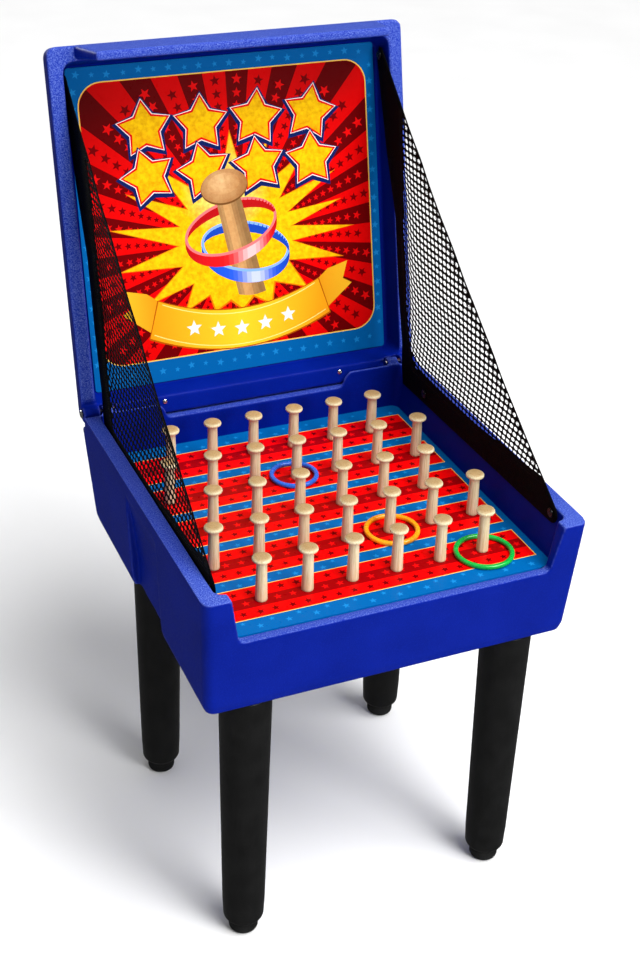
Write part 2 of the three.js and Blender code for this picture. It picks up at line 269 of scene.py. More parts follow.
PLASTIC = case_plastic()
WOOD = peg_wood()
YARN, TAPE = net_yarn(), net_tape()
LEG = dark_polymer("leg_black", 0.004, 0.008, 0.32, 0.44, 420, 0.00018, 1.4)
RUBBER = dark_polymer("foot_rubber", 0.008, 0.016, 0.6, 0.8, 700, 0.00015)
THREAD = dark_polymer("net_thread", 0.012, 0.03, 0.6, 0.75, 1500, 0.0001)
BLACKED = metal("snap_black_oxide", 0.05, 0.26)
BRIGHT = metal("fixing_zinc", 0.75, 0.2)
BACKING = dark_polymer("panel_foam_back", 0.72, 0.8, 0.5, 0.65, 900, 0.00008)

# -------- mesh tools


def new_piece(name, mesh, materials, body, slot, nodes):
    """An object for a mesh in the row frame, riding on a body unless that is None."""
    for m in materials:
        mesh.materials.append(m)
    obj = bpy.data.objects.new(name, mesh)
    link(obj)
    if body:
        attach(obj, body)
    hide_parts(*nodes)
    return obj


def solid_mesh(name, verts, faces, smooth=True, indices=None):
    """A closed mesh with its faces turned outward."""
    mesh = bpy.data.meshes.new(name)
    mesh.from_pydata([tuple(v) for v in verts], [], faces)
    if indices is not None:
        mesh.polygons.foreach_set("material_index", indices)
    bm = bmesh.new()
    bm.from_mesh(mesh)
    bmesh.ops.recalc_face_normals(bm, faces=bm.faces)
    bm.to_mesh(mesh)
    bm.free()
    mesh.polygons.foreach_set("use_smooth", [smooth] * len(mesh.polygons))
    return mesh


def drop_loose(mesh):
    """Deletes the vertices that no face uses."""
    bm = bmesh.new()
    bm.from_mesh(mesh)
    bmesh.ops.delete(bm, geom=[v for v in bm.verts if not v.link_faces], context="VERTS")
    bm.to_mesh(mesh)
    bm.free()


def lathe(profile, place, segments):
    """Vertices and faces of a (radius, height) profile turned about its axis and set by place(x, y, h)."""
    verts, faces, loops = [], [], []
    for r, h in profile:
        count = 1 if r < 1e-6 else segments
        loops.append(range(len(verts), len(verts) + count))
        for i in range(count):
            a = 2 * math.pi * i / segments
            verts.append(place(r * math.cos(a), r * math.sin(a), h))
    for low, high in zip(loops, loops[1:]):
        for i in range(segments):
            j = (i + 1) % segments
            if len(low) == 1:
                faces.append((low[0], high[j], high[i]))
            elif len(high) == 1:
                faces.append((low[i], low[j], high[0]))
            else:
                faces.append((low[i], low[j], high[j], high[i]))
    return verts, faces


def upright(x, y):
    """Places a lathe upright at a spot of the drawing."""
    return lambda a, b, h: board_place(x + a, y + b, h)


def arc(cx, cz, radius, start, end, count):
    """Points of a circular arc in a profile, its angles in degrees from the radius axis."""
    steps = (math.radians(start + (end - start) * i / count) for i in range(count + 1))
    return [(cx + radius * math.cos(a), cz + radius * math.sin(a)) for a in steps]


def shoelace(polygon):
    """Twice a polygon's area, positive where it runs anticlockwise."""
    return sum(a[0] * b[1] - b[0] * a[1] for a, b in zip(polygon, [*polygon[1:], polygon[0]]))


def partition(polygons, points=()):
    """The plane cut along every polygon: its points, and each triangle with the polygons it lies in."""
    verts, faces = list(points), []
    for polygon in polygons:
        faces.append(range(len(verts), len(verts) + len(polygon)))
        verts += polygon if shoelace(polygon) > 0 else polygon[::-1]
    found = delaunay_2d_cdt([Vector(v) for v in verts], [], [list(f) for f in faces], 0, 1e-5, True)
    return [tuple(v) for v in found[0]], list(zip(found[2], found[5]))


def slab(triangles, count):
    """Front, back and wall faces of a flat sheet. Its back vertices follow the count of front ones."""
    front = [tuple(t) for t in triangles]
    back = [tuple(i + count for i in reversed(t)) for t in front]
    edges = {(t[i], t[(i + 1) % 3]) for t in front for i in range(3)}
    walls = [(b, a, a + count, b + count) for a, b in edges if (b, a) not in edges]
    return front, back, sorted(walls)


def ellipse(cx, cy, a, b, turn, count):
    """Points of an ellipse turned by a number of degrees."""
    steps = [math.radians(360 * i / count) for i in range(count)]
    c, s = math.cos(math.radians(turn)), math.sin(math.radians(turn))
    return [(cx + a * math.cos(t) * c - b * math.sin(t) * s, cy + a * math.cos(t) * s + b * math.sin(t) * c)
            for t in steps]


STAR_POINTS = 5


def star(cx, cy, radius, turn, waist=0.42):
    """A star polygon with its first point turned from straight up."""
    out = []
    for i in range(2 * STAR_POINTS):
        a = math.radians(90 + turn) + math.pi * i / STAR_POINTS
        r = radius if i % 2 == 0 else radius * waist
        out.append((cx + r * math.cos(a), cy + r * math.sin(a)))
    return out


def rounded(x0, y0, x1, y1, radius, count=8):
    """A rectangle with round corners."""
    out = []
    for cx, cy, start in ((x1 - radius, y1 - radius, 0), (x0 + radius, y1 - radius, 90),
                          (x0 + radius, y0 + radius, 180), (x1 - radius, y0 + radius, 270)):
        out += arc(cx, cy, radius, start, start + 90, count)
    return out


# -------- moulded case and lid


def smooth_step(value, low, high):
    t = np.clip((value - low) / (high - low), 0, 1)
    return t * t * (3 - 2 * t)


def case_painted_highlight(at, normal):
    """Painted highlight: a pale blue on the case's upward faces, from the tray's rim up, where the light from
    above falls.
    """
    upward = smooth_step(normal[:, 2], 0.25, 0.85)
    near_rim = smooth_step(at[:, 2], -12, 4)
    near_front = 0.55 + 0.45 * smooth_step(-at[:, 1], -60, 90)
    return upward * near_rim * near_front


def lid_painted_highlight(at, normal):
    """Painted highlight: a pale blue on the lid's rim, which faces the players, and on its lip, where the
    light falls.
    """
    face = smooth_step(-normal[:, 1], 0.5, 0.9) * smooth_step(-at[:, 1], -12, -2)
    top = smooth_step(normal[:, 2], 0.3, 0.8) * smooth_step(at[:, 2], 560, 600)
    return np.maximum(face * smooth_step(at[:, 2], 16, 30) * 0.72, top * 0.85)


def moulded(name, node, plugs, place, body, painted_highlight):
    """The CAD solid skinned again with the soft edges of a rotational moulding. Plugs close the drain holes
    behind their mouths, so that only the outer surface is skinned."""
    to_row = matrix_of(place)
    mesh = NODES[node].data.copy()
    mesh.transform(to_row.inverted())
    mesh.transform(Matrix.Scale(MM, 4))
    bm = bmesh.new()
    bm.from_mesh(mesh)
    bmesh.ops.remove_doubles(bm, verts=bm.verts, dist=1e-6)
    for centre, axis, radius, depth in plugs:
        turn = Vector(axis).to_track_quat("Z", "Y").to_matrix().to_4x4()
        bmesh.ops.create_cone(bm, cap_ends=True, segments=24, radius1=radius * MM, radius2=radius * MM,
                              depth=depth * MM, matrix=Matrix.Translation(Vector(centre) * MM) @ turn)
    bm.to_mesh(mesh)
    bm.free()
    mesh.materials.clear()
    work = bpy.data.objects.new(name + "_work", mesh)
    link(work)
    skin = work.modifiers.new("skin", "REMESH")
    skin.mode, skin.voxel_size = "VOXEL", (0.002)
    soften = work.modifiers.new("soften", "SMOOTH")
    soften.factor, soften.iterations = 0.5, (16)
    thin = work.modifiers.new("thin", "DECIMATE")
    thin.ratio = 0.18
    done = bpy.data.meshes.new_from_object(work.evaluated_get(bpy.context.evaluated_depsgraph_get()))
    done.name = name
    bpy.data.objects.remove(work)
    done.transform(Matrix.Scale(1 / MM, 4))
    at, normal = np.zeros((2, len(done.vertices) * 3))
    done.vertices.foreach_get("co", at)
    done.vertices.foreach_get("normal", normal)
    layer = done.attributes.new("painted_highlight", "FLOAT", "POINT")
    layer.data.foreach_set("value", painted_highlight(at.reshape(-1, 3), normal.reshape(-1, 3)).astype(np.float32))
    done.transform(to_row)
    done.polygons.foreach_set("use_smooth", [True] * len(done.polygons))
    done.materials.clear()
    new_piece(name, done, [PLASTIC], body, "case_plastic", [node])


# Each hole's plug: its middle, axis, radius and depth.
DRAINS = [((side * 90, 180, -127.4), (0, 0, 1), 8, 3.4) for side in (-1, 1)]
VENTS = [((side * 298, 44.4, 300), (0, 1, 0), 7, 3.4) for side in (-1, 1)]
moulded("case_shell", "base_tub", DRAINS, board_place, "case_base", case_painted_highlight)
moulded("lid_skin", "lid_shell", VENTS, lid_place, "lid", lid_painted_highlight)

# -------- printed panels

SKY, SKY_STAR = linear(2, 92, 160), linear(22, 126, 196)
RED, DARK_RED = linear(236, 4, 6), linear(112, 0, 4)
RED_STAR, LINE = linear(226, 10, 12), linear(244, 200, 84)
BAND_DARK = linear(146, 2, 6)
YELLOW, ORANGE = linear(252, 204, 10), linear(232, 122, 6)
NAVY, WHITE = linear(14, 30, 92), linear(255, 236, 232)


def flat(colour, mottle=0.0):
    return lambda x, y: (*colour, mottle)


def fade(a, b, share, mottle=0.0):
    """A colour that goes from a to b as share(x, y) goes from 0 to 1."""
    def colour(x, y):
        t = min(1.0, max(0.0, share(x, y)))
        return (*(p + (q - p) * t for p, q in zip(a, b)), mottle)
    return colour


def printed(name, outline, holes, art, place, depth, film, body, slot, node, grid):
    """A panel whose front face is cut along the printed artwork: (polygon, colour function) pairs, painted
    in order. place(x, y, d) puts a point of the drawing at depth d behind the front."""
    xs, ys = zip(*outline)
    points = [(x, y) for x in np.arange(min(xs) + grid, max(xs) - grid / 2, grid)
              for y in np.arange(min(ys) + grid, max(ys) - grid / 2, grid)]
    polygons = [outline, *holes, *(polygon for polygon, _ in art)]
    flat_points, cut = partition(polygons, points)
    first = 1 + len(holes)
    kept = [(t, max(inside)) for t, inside in cut
            if 0 in inside and not any(1 <= i < first for i in inside)]
    count = len(flat_points)
    front, back, walls = slab([t for t, _ in kept], count)
    verts = [place(x, y, d) for d in (0, depth) for x, y in flat_points]
    indices = [0] * len(front) + [1] * len(back) + [0] * len(walls)
    mesh = solid_mesh(name, verts, front + back + walls, False, indices)
    layer = mesh.color_attributes.new("print", "FLOAT_COLOR", "CORNER")
    colours = np.ones((len(mesh.loops), 4), np.float32) * (*SKY, 0.0)
    for face, (_, top) in zip(mesh.polygons, kept):
        paint = art[top - first][1] if top >= first else art[0][1]
        for loop in face.loop_indices:
            vertex = mesh.loops[loop].vertex_index % count
            colours[loop] = paint(*flat_points[vertex])
    layer.data.foreach_set("color", colours.ravel())
    drop_loose(mesh)
    new_piece(name, mesh, [film, BACKING], body, slot, [node])


PEG_ROWS = (6, 7, 6, 7, 6)
PEG_PITCH, ROW_PITCH = 76, 105.2
PEG_SPOTS = [((i - (n - 1) / 2) * PEG_PITCH, row * ROW_PITCH)
             for row, n in enumerate(PEG_ROWS) for i in range(n)]
BANDS = ((-42, 36), (64.5, 143.5), (170, 249), (274, 354), (381, 460))
BAND_HALF, LINE_WIDTH, STAR_MARGIN = 263.9, 1.5, 1.5


def star_row(rng, x0, x1, y, radius, pitch, jitter, paint, shift):
    """Stars printed in a row, each a little off its place and turned."""
    out = []
    x = x0 + radius + STAR_MARGIN + shift
    while x < x1 - radius - STAR_MARGIN:
        out.append((star(x + rng.uniform(-1, 1) * jitter, y + rng.uniform(-1, 1) * jitter,
                         radius * rng.uniform(0.92, 1.05), rng.uniform(-16, 16)), paint))
        x += pitch
    return out


def playfield_art():
    """Five red bands on a sky ground, with two rows of faint stars in each gap and three in each band."""
    rng = random.Random(11)
    art = [(rounded(-277.2, -76.1, 277.2, 496.9, 13.6), flat(SKY))]
    gaps = [(-72, BANDS[0][0]), *((a[1], b[0]) for a, b in zip(BANDS, BANDS[1:])), (BANDS[-1][1], 493)]
    for n, (low, high) in enumerate(gaps):
        for share, radius, shift in ((0.3, 6.6, 0), (0.68, 5.0, 23)):
            y = low + (high - low) * share
            art += star_row(rng, -270, 270, y, radius, 46, 1.4, flat(SKY_STAR), shift + 9 * (n % 2))
    for n, (low, high) in enumerate(BANDS):
        third, edge = (high - low) / 3, BAND_HALF + LINE_WIDTH
        art.append((rounded(-edge, low - LINE_WIDTH, edge, high + LINE_WIDTH, 0.6, 1), flat(LINE)))
        for k, base in enumerate((RED, BAND_DARK, RED)):
            y0, y1 = low + k * third, low + (k + 1) * third
            stripe = [(-BAND_HALF, y0), (BAND_HALF, y0), (BAND_HALF, y1), (-BAND_HALF, y1)]
            art.append((stripe, flat(base, 0.2)))
            art += star_row(rng, -BAND_HALF, BAND_HALF, (y0 + y1) / 2, 7.4, 26, 0.8,
                            flat(RED_STAR if k == 1 else DARK_RED), (7 * n + 13 * k) % 24)
    return art


PEG_HOLE = 4.7
PEG_HOLES = [ellipse(x, y, PEG_HOLE, PEG_HOLE, 0, 16) for x, y in PEG_SPOTS]
printed("playfield_sheet", rounded(-277.6, -76.5, 277.6, 497.3, 14), PEG_HOLES, playfield_art(),
        lambda x, y, d: board_place(x, y, -d), 5, print_film("playfield_vinyl"), "case_base",
        "playfield_print", "playfield_board", 60)

FIELD = (-261, 62, 261, 549)
FIELD_RADIUS = 40
BURST = (0, 256)


def inside_field(x, y, margin):
    """Whether a point is further than a margin inside the header's red field."""
    x0, y0, x1, y1 = FIELD
    dx = max(x0 + FIELD_RADIUS - x, 0, x - x1 + FIELD_RADIUS)
    dy = max(y0 + FIELD_RADIUS - y, 0, y - y1 + FIELD_RADIUS)
    return math.hypot(dx, dy) < FIELD_RADIUS - margin


def burst_point(radius, angle):
    """The point at a distance and an angle in radians from the burst's middle."""
    return BURST[0] + radius * math.cos(angle), BURST[1] + radius * math.sin(angle)


def field_edge(angle):
    """Where a ray from the burst's middle leaves the red field, found by halving."""
    low, high = 0.0, 500.0
    for _ in range(30):
        mid = (low + high) / 2
        if inside_field(*burst_point(mid, angle), 0.3):
            low = mid
        else:
            high = mid
    return burst_point(low, angle)


def burst_shape(scale):
    """A starburst of long and short rays."""
    tips = ((0, 222), (14, 205), (28, 215), (46, 190), (68, 178), (90, 188), (112, 178), (134, 190),
            (152, 214), (169, 228), (188, 214), (209, 190), (228, 152), (249, 130), (272, 124), (296, 136),
            (322, 162), (345, 206))
    waist, out = 106 * scale, []
    for (a, r), (b, _) in zip(tips, (*tips[1:], (360, 0))):
        out.append(burst_point(r * scale, math.radians(a)))
        out.append(burst_point(waist, math.radians((a + b) / 2)))
    return out


def hoop_art(start, end, cx, cy, a, b, turn, base, light):
    """Part of a tilted ring drawn as short lengths of band, shaded round it."""
    out, steps, drop = [], 30, 20
    c, s = math.cos(math.radians(turn)), math.sin(math.radians(turn))

    def at(angle, grow, shift):
        t = math.radians(angle)
        x, y = (a + grow) * math.cos(t), (b + grow) * math.sin(t)
        return cx + x * c - y * s, cy + x * s + y * c - shift

    def fall(angle):
        return drop * (0.55 + 0.45 * abs(math.sin(math.radians(angle))))

    for i in range(steps):
        p, q = (start + (end - start) * (i + k) / steps for k in (0, 1))
        mid = (p + q) / 2
        height = math.sin(math.radians(mid))
        lit = 0.5 - 0.5 * height if height < 0 else 0.62
        glint = math.exp(-((mid % 360 - 288) / 16) ** 2)
        tone = tuple(min(1, v * lit + glint * 0.55) for v in base)
        out.append(([at(p, 0, 0), at(q, 0, 0), at(q, 0, fall(q)), at(p, 0, fall(p))], flat(tone)))
        out.append(([at(p, 0, 0), at(q, 0, 0), at(q, -5, 0), at(p, -5, 0)], flat(light)))
    return out


def header_art():
    """A starburst with a ringed peg on a rayed red field, between plain stars and a plain ribbon."""
    rng = random.Random(5)
    art = [(rounded(-278.6, 20.9, 278.6, 576.2, 4.6, 3), flat(SKY))]
    border = [(x, y) for y in (41, 563.5) for x in range(-262, 266, 27)]
    border += [(x, y) for x in (-270, 270) for y in range(68, 550, 26)]
    for n, (x, y) in enumerate(border):
        art.append((star(x + rng.uniform(-1, 1), y + rng.uniform(-2, 2), (7.2, 5.2)[n % 2],
                         rng.uniform(-15, 15)), flat(SKY_STAR)))
    x0, y0, x1, y1 = FIELD
    art.append((rounded(x0 - 2, y0 - 2, x1 + 2, y1 + 2, FIELD_RADIUS + 2), flat(LINE)))

    def corner_dark(x, y):
        return (math.hypot(x, y - BURST[1]) - 170) / 260

    deep_red, deep_dark = tuple(v * 0.55 for v in RED), tuple(v * 0.5 for v in DARK_RED)
    art.append((rounded(*FIELD, FIELD_RADIUS), fade(RED, deep_red, corner_dark, 0.2)))
    rays = 22
    step = 2 * math.pi / rays
    for k in range(rays):
        a0 = k * step
        edge = [field_edge(a0 + step * 0.5 * i / 5) for i in range(6)]
        art.append(([BURST, *edge], fade(DARK_RED, deep_dark, corner_dark, 0.2)))
        for half, paint in ((0.25, RED_STAR), (0.75, DARK_RED)):
            radius = 118.0
            while radius < 330:
                size = radius * 0.036
                a = a0 + step * half
                x, y = burst_point(radius, a)
                if inside_field(x, y, size + 1):
                    art.append((star(x, y, size, math.degrees(a) - 90), flat(paint)))
                radius += size * 2.5
    glow = linear(255, 246, 150)
    art.append((burst_shape(1.035), flat(ORANGE, 0.4)))
    art.append((burst_shape(1.0), fade(glow, YELLOW, lambda x, y: math.hypot(x + 14, y - 345) / 78, 1.0)))

    # Two rows of bold plain stars.
    for y, lean in ((466, -4), (384, 8)):
        for i in range(4):
            x = (i - 1.5) * 101
            turn = -x * 0.05 + lean
            gold = fade(YELLOW, linear(250, 170, 10), lambda u, v, y=y: (y - v) / 60, 1.0)
            art += [(star(x, y - 3, 58, turn, 0.60), flat(NAVY)),
                    (star(x, y, 51.5, turn, 0.57), flat(WHITE)),
                    (star(x, y, 49.5, turn, 0.56), flat(RED_STAR)),
                    (star(x, y, 44, turn, 0.54), gold)]

    # A plain ribbon with folded tails and a row of small stars.
    outset = 1.012
    shade = fade(linear(255, 206, 40), linear(232, 128, 6), lambda x, y: abs(x) / 230)
    fold = fade(linear(214, 128, 10), linear(250, 190, 40), lambda x, y: (abs(x) - 130) / 90)
    tail = [(150, 166), (128, 150), (168, 112), (216, 150), (199, 160), (209, 192), (170, 182)]
    for side in (-1, 1):
        art.append(([(side * (x * outset), 0.15 + y) for x, y in tail], fold))
    top = [(-152 + 304 * i / 16, 132 + 34 * ((i - 8) / 8) ** 2) for i in range(17)]
    low = [(-172 + 344 * i / 16, 62 + 40 * ((i - 8) / 8) ** 2) for i in range(17)]
    edges = [(x * outset, y + 2.2) for x, y in top] + [(x * outset, y - 2.2) for x, y in low[::-1]]
    art.append((edges, flat(linear(176, 84, 4))))
    art.append((top + low[::-1], shade))
    for edge, inset in ((top, -6), (low, 6)):
        line = [(x * 0.955, y + inset) for x, y in edge]
        art.append(([*line, *[(x, y - 1.6) for x, y in line[::-1]]], flat(linear(255, 232, 130))))
    for x in (-90, -45, 0, 45, 90):
        art.append((star(x, 97 + 37 * (x / 160) ** 2, 15, 0, 0.45), flat(WHITE)))

    # The peg with its two rings.
    hoops = ((17, 243, 84, 45, -13, linear(32, 88, 226), linear(130, 176, 255)),
             (-8, 281, 88, 47, 12, linear(226, 24, 30), linear(255, 120, 120)))
    for hoop in hoops:
        art += hoop_art(0, 180, *hoop)
    strips = 9
    for i in range(strips):
        u0, u1 = i / strips, (i + 1) / strips
        mid = (u0 + u1) / 2
        tone = 0.5 + 0.6 * math.exp(-((mid - 0.36) / 0.26) ** 2) - 0.06 * (i % 2)
        wood = tuple(v * tone for v in linear(206, 158, 100))
        strip_top = [(-34 + 46 * u, 336) for u in (u0, u1)]
        strip_low = [(-2 + 52 * u, 158 - 4 * math.sin(math.pi * u)) for u in (u1, u0)]
        art.append((strip_top + strip_low, flat(wood, 0.5)))
    head = fade(linear(226, 182, 124), linear(168, 116, 66),
                lambda x, y: math.hypot(x + 22, y - 360) / 46, 0.6)
    crown = fade(linear(236, 196, 140), linear(198, 148, 92),
                 lambda x, y: math.hypot(x + 22, y - 362) / 32, 0.6)
    art += [(ellipse(-16, 352, 44, 31, 6, 36), flat(linear(116, 74, 36))),
            (ellipse(-16, 354, 43, 29.5, 6, 36), head), (ellipse(-17, 358, 30, 18.5, 6, 28), crown)]
    for hoop in hoops:
        art += hoop_art(180, 360, *hoop)
    return art


printed("header_sheet", rounded(-279, 20.5, 279, 576.6, 5, 3), [], header_art(),
        lambda x, y, d: lid_place(x, 42.7 + d, y), 3, print_film("header_vinyl"), "lid", "header_print",
        "header_panel", 13)

# -------- pegs and rings

# Turned profiles are (radius, height): here a tenon, a waisted stem and a domed head.
PEG = [(0, -4.6), (4.1, -4.6), (4.5, -4.2), (4.5, 0.1), (8.9, 0.1), (9.6, 0.8), (9.5, 4), (9.2, 18),
       (8.8, 38), (8.45, 56), (8.25, 63.5), (8.5, 66.2), (9.5, 68.2), (11.4, 69.7), (13.4, 70.7),
       (14.7, 71.8), (15.2, 73.2), (15.0, 74.7), (14.1, 76.2), (12.2, 77.5), (9.2, 78.5), (5.2, 79.05),
       (0, 79.2)]
for number, (x, y) in enumerate(PEG_SPOTS, 1):
    node = f"peg_{number:02d}"
    turned = solid_mesh(f"{node}_turned", *lathe(PEG, upright(x, y), 36))
    new_piece(f"dowel_{number:02d}", turned, [WOOD], "case_base", "peg_wood", [node])

RINGS = {"blue": linear(30, 96, 205), "yellow": linear(240, 156, 8), "green": linear(12, 168, 60)}
for colour, tone in RINGS.items():
    low, high = (Vector(v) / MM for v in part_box(f"ring_{colour}"))
    half = (high.z - low.z) / 2
    middle, radius = (low + high) / 2, (high.x - low.x) / 2 - half
    section = []  # a squarish round, with a parting line outside and inside
    for i in range(20):
        a = 2 * math.pi * i / 20
        c, s = math.cos(a), math.sin(a)
        seam = 0.12 if i in (0, 10) else 0.0
        section.append((math.copysign(abs(c) ** 0.8, c) * (half + seam),
                        math.copysign(abs(s) ** 0.8, s) * (half - 0.15)))
    verts, faces, around = [], [], 120
    for i in range(around):
        a = 2 * math.pi * i / around
        for out, up in section:
            reach = radius + out
            spot = (middle.x + reach * math.cos(a), middle.y + reach * math.sin(a), middle.z + up)
            verts.append(tuple(Vector(spot) * MM))
    n = len(section)
    for i in range(around):
        for k in range(n):
            p, q = i * n, ((i + 1) % around) * n
            faces.append((p + k, q + k, q + (k + 1) % n, p + (k + 1) % n))
    name, finish = f"ring_{colour}", ring_plastic(f"ring_{colour}_gloss", tone)
    new_piece(f"toss_{name}", solid_mesh(f"toss_{name}", verts, faces), [finish], name, name, [name])

# -------- legs and feet

LEG_PROFILE = [(0, -619.4), (18.6, -619.4), (19.7, -618.3), (19.8, -603.3),
               *arc(23.2, -592.6, 10.6, -72, -6, 9), (35.2, -560), (38.6, -350), (41.7, -150),
               *arc(39.6, -136.1, 2.3, 0, 88, 5), (33, -133.8), (33, -17), (30, -14), (0, -14)]
FOOT_PROFILE = [(0, -628.6), (14, -628.6), *arc(16.4, -620.4, 8.1, -78, 0, 8), (24.5, -606),
                *arc(22.9, -605, 1.6, 0, 84, 4), (20.1, -603.4), (20.1, -619.9), (0, -619.9)]
LEG_PARTS = (("leg", "tube", LEG_PROFILE, LEG, "leg_plastic"),
             ("foot", "cap", FOOT_PROFILE, RUBBER, "foot_rubber"))
for end, y in (("front", -35), ("rear", 395)):
    for side, x in (("left", -228), ("right", 228)):
        spot = f"{end}_{side}"
        for kind, shape, profile, finish, slot in LEG_PARTS:
            name = f"{kind}_{spot}"
            mesh = solid_mesh(name, *lathe(profile, upright(x, y), 72))
            new_piece(f"{name}_{shape}", mesh, [finish], f"leg_{spot}", slot, [name])

# -------- fixings


def axis_place(point, outward, place):
    """Places a lathe with its height axis along outward, from point, both in drawing coordinates."""
    z = Vector(outward).normalized()
    x = z.orthogonal().normalized()
    y = z.cross(x)
    return lambda a, b, h: place(*(Vector(point) + x * a + y * b + z * h))


def screw_mesh(name, at, radius, recess):
    """A pan head with a cross cut into its crown."""
    w, r = radius * 0.16, radius * 0.62
    cross = [(w, w), (r, w), (r, -w), (w, -w), (w, -r), (-w, -r),
             (-w, -w), (-r, -w), (-r, w), (-w, w), (-w, r), (w, r)]
    rings = [ellipse(0, 0, radius * k, radius * k, 0, n) for k, n in ((1, 32), (0.82, 24), (0.7, 24))]
    points, cut = partition([*rings, cross])

    def height(x, y, sunk):
        dome = 0.9 * math.sqrt(max(0.0, 1 - (math.hypot(x, y) / radius) ** 2)) * radius * 0.5
        return dome - (recess if sunk else 0)

    verts = [at(x, y, height(x, y, False)) for x, y in points] + [at(x, y, -0.8) for x, y in points]
    kept = [(t, 3 in inside) for t, inside in cut if 0 in inside]
    count = len(points)
    front, back, walls = slab([t for t, _ in kept], count)
    sunk = {}
    for t, is_sunk in kept:
        if is_sunk:
            for i in t:
                if i not in sunk:
                    sunk[i] = len(verts)
                    verts.append(at(points[i][0], points[i][1], height(*points[i], True)))
    faces = [t for t, is_sunk in kept if not is_sunk]
    faces += [tuple(sunk[i] for i in t) for t, is_sunk in kept if is_sunk]
    edges = {(t[i], t[(i + 1) % 3]) for t, is_sunk in kept if is_sunk for i in range(3)}
    faces += [(a, b, sunk[b], sunk[a]) for a, b in sorted(edges) if (b, a) not in edges]
    return solid_mesh(name, verts, faces + back + walls, False)


PIN_CROWN = 3.7
PIN = [(0, -58), (3.2, -58), (3.6, -57.4), (3.6, 0), (7.0, 0), (7.6, 0.5), (7.5, 1.4), (6.4, 2.5),
       (4.6, 3.2), (2.2, 3.6), (0, PIN_CROWN)]
SNAP = [(0, 1.5), (6.9, 1.5), (7.6, 0.9), (7.6, -0.2), (6.8, -1.0), (5.6, -1.15), (5.3, -0.8), (4.2, -0.8),
        (3.9, -1.3), (2.4, -1.7), (0, -1.85)]
SNAP_X = 282.6
SNAPS = {"front": (-42, 74), "rear": (400, 69), "top": (651, 620)}
for side, sign in (("left", -1), ("right", 1)):
    low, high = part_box(f"hinge_pin_{side}")
    tip = max(abs(low.x), abs(high.x)) / MM
    at = axis_place((sign * (tip - PIN_CROWN), HINGE_Y, HINGE_Z), (sign, 0, 0), board_place)
    pin = solid_mesh("pin", *lathe(PIN, at, 32))
    new_piece(f"pivot_pin_{side}", pin, [BRIGHT], "case_base", "bright_metal", [f"hinge_pin_{side}"])
    for key, (y, z) in SNAPS.items():
        node = f"snap_{key}_{side}"
        at = axis_place((sign * SNAP_X, y, z), (-sign, 0, 0), board_place)
        verts, faces = lathe([(r, -h) for r, h in SNAP], at, 32)
        stem, stem_faces = lathe([(0, -7), (2.6, -7), (2.6, -1.2), (0, -1.2)], at, 20)
        faces += [tuple(i + len(verts) for i in f) for f in stem_faces]
        new_piece(f"press_stud_{key}_{side}", solid_mesh(node, verts + stem, faces), [BLACKED],
                  "lid" if key == "top" else "case_base", "snap_metal", [node])
    at = axis_place((sign * 168, 0.4, -3), (0, -1, 0), lid_place)
    new_piece(f"pan_screw_{side}", screw_mesh("screw", at, 4.8, 0.7), [BRIGHT], "lid", "bright_metal",
              [f"lid_screw_{side}"])

# -------- side nets

# The net's outline in (y, z): its free edge, the nose round the front stud, the edge in the tray and lid.
NET_TOP, NET_SAG = (645, 634), 24
NOSE_RADIUS = 17
NOSE = arc(*SNAPS["front"], NOSE_RADIUS, 127, 270, 12)
NET_NOSE = NOSE[0]
NET_REST = [(487, 48), (496, 86), (499, 125), (526, 223), (554, 352), (604, 460), (661, 614), (655, 634)]
NET_X = 285.2
# The lower binding sits a little higher than the real tape, so its black also covers what is only the net's
# shade on the tray's rim.
BIND_FRONT, BIND_LOW = 17, 100
# The netting's rear edge: y at each height. REAR_SQUARE turns a level gap into a square one.
MESH_HEIGHTS = (60, 109, 154, 201, 261, 331, 436, 527, 640)
MESH_REAR = (432, 452, 471, 484, 497, 514, 528, 547, 566)
REAR_SQUARE = 0.97
FREE_EDGE_INWARD = Vector((0.617, -0.787))
HOLE_PITCH_Y, HOLE_PITCH_Z, HOLE_A, HOLE_B = 13.0, 10.7, 5.5, 3.8
HOLE_SIDES, HOLE_SHARE = 12, 0.3  # a clipped hole is left out if less than this share of it remains
HOLE_MARGIN, KNOT_MARGIN, FILL_STEP = 2.0, 1.8, 18
# How the hanging knit leaves its even grid: columns lean, and rows lift beside the rear binding.
LEAN, LEAN_HEIGHT, LEAN_SOFT = 0.34, 190, 40
LIFT, LIFT_REACH, LIFT_HEIGHT, LIFT_SPAN = 42, 28, 270, 190
TAPE_HALF, KNOT_HALF, YARN_HALF = 0.75, 0.62, 0.3
# A stitch as (run, half width, height), its length and pitch, and its rows' distances from the mesh.
STITCH = ((0, 0.25, 0.0), (0.8, 0.42, 0.34), (2.2, 0.42, 0.34), (3.0, 0.25, 0.0))
STITCH_LENGTH, STITCH_PITCH, STITCH_ROWS = 3.2, 4.2, (4.0, 9.0)


def free_edge(count):
    """The sagging front edge, from the lid's top corner to the nose of the case."""
    mid = [(a + b) / 2 for a, b in zip(NET_TOP, NET_NOSE)]
    control = (mid[0] + NET_SAG / 2, mid[1] - NET_SAG)
    return [tuple((1 - t) ** 2 * a + 2 * t * (1 - t) * b + t * t * c
                  for a, b, c in zip(NET_TOP, control, NET_NOSE))
            for t in (i / count for i in range(count + 1))]


def along(a, b, step):
    """Points from a up to but not including b, about a step apart."""
    n = max(1, round(math.dist(a, b) / step))
    return [(a[0] + (b[0] - a[0]) * i / n, a[1] + (b[1] - a[1]) * i / n) for i in range(n)]


def mesh_rear(z):
    """How far back the netting reaches at a height, before the rear binding starts."""
    return float(np.interp(z, MESH_HEIGHTS, MESH_REAR))


def mesh_low(y, drop):
    """The top of the lower binding, which widens a little towards the front."""
    return BIND_LOW - drop + 0.07 * max(0.0, 230 - y)


